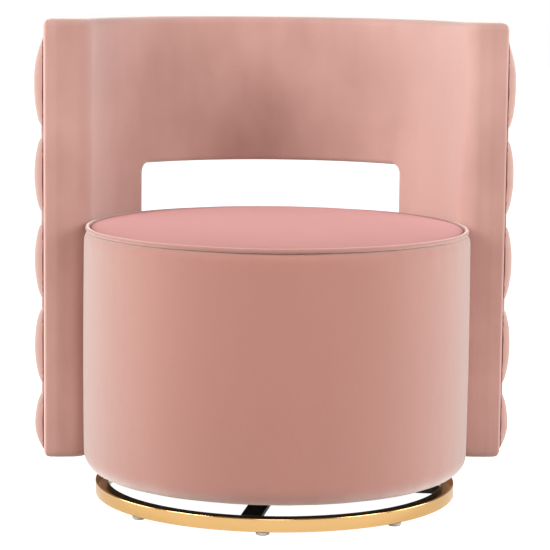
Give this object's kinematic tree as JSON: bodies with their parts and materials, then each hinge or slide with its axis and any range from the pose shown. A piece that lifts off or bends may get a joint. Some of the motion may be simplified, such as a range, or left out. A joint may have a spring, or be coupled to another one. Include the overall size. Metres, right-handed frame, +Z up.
{
  "type": "swivel barrel chair",
  "caption": "Low velvet barrel chair: a round welted drum seat in a curved tufted back shell with an open window, swivelling on a flat gold ring base.",
  "frame": {"origin": "on the floor, below the middle of the chair's bounding box", "axes": "+Z up, +Y towards the back of the chair, +X towards the sitter's left; the sitter faces -Y. The swivel axis is parallel to +Z, 43.5 mm in front of the origin"},
  "size_m": [0.741, 0.672, 0.724],
  "materials": {
    "velvet": "matte",
    "gold": "polished",
    "black_steel": "satin",
    "steel": "satin",
    "glide_plastic": "matte",
    "plywood": "matte",
    "foam": "matte",
    "dust_cloth": "matte"
  },
  "bodies": {
    "base": {"base_ring": "gold", "spoke_long": "black_steel", "spoke_right": "black_steel", "spoke_left": "black_steel", "hub_plate": "black_steel", "lower_race_plate": "steel", "base_bolt_1": "steel", "base_bolt_2": "steel", "base_bolt_3": "steel", "base_bolt_4": "steel", "glide_1": "glide_plastic", "glide_2": "glide_plastic", "glide_3": "glide_plastic", "glide_4": "glide_plastic", "glide_5": "glide_plastic", "glide_6": "glide_plastic", "glide_7": "glide_plastic", "glide_8": "glide_plastic"},
    "ball_race_cage": {"ball_cage": "steel"},
    "seat": {"upper_race_plate": "steel", "swivel_spacer": "plywood", "base_panel": "plywood", "swivel_bolt_1": "steel", "swivel_bolt_2": "steel", "swivel_bolt_3": "steel", "swivel_bolt_4": "steel", "dust_cover": "dust_cloth", "drum_post_1": "plywood", "drum_post_2": "plywood", "drum_post_3": "plywood", "drum_post_4": "plywood", "drum_top_ring": "plywood", "drum_wall": "plywood", "drum_padding": "foam", "drum_cover": "velvet", "seat_spring_1": "steel", "seat_spring_2": "steel", "seat_spring_3": "steel", "seat_spring_4": "steel", "seat_foam": "foam", "seat_cover": "velvet", "seat_welt": "velvet", "inner_cover": "velvet", "inner_padding": "foam", "outer_padding": "foam", "top_rail": "plywood", "bottom_rail": "plywood", "arm_post_right": "plywood", "arm_post_left": "plywood", "window_post_right": "plywood", "window_post_left": "plywood", "window_head_rail": "plywood", "window_sill_rail": "plywood", "tufted_panel": "velvet", "shell_bolt_1": "steel", "shell_bolt_2": "steel", "shell_bolt_3": "steel", "shell_bolt_4": "steel"}
  },
  "joints": [
    {"name": "seat_swivel", "type": "hinge", "parent": "base", "child": "seat", "pos_m": [0, -0.0435, 0.0298], "axis": [0, 0, 1], "continuous": true},
    {"name": "cage_roll", "type": "hinge", "parent": "base", "child": "ball_race_cage", "pos_m": [0, -0.0435, 0.0298], "axis": [0, 0, 1], "continuous": true}
  ],
  "couplings": [
    {"joint": "cage_roll", "follows": "seat_swivel", "ratio": 0.5}
  ]
}
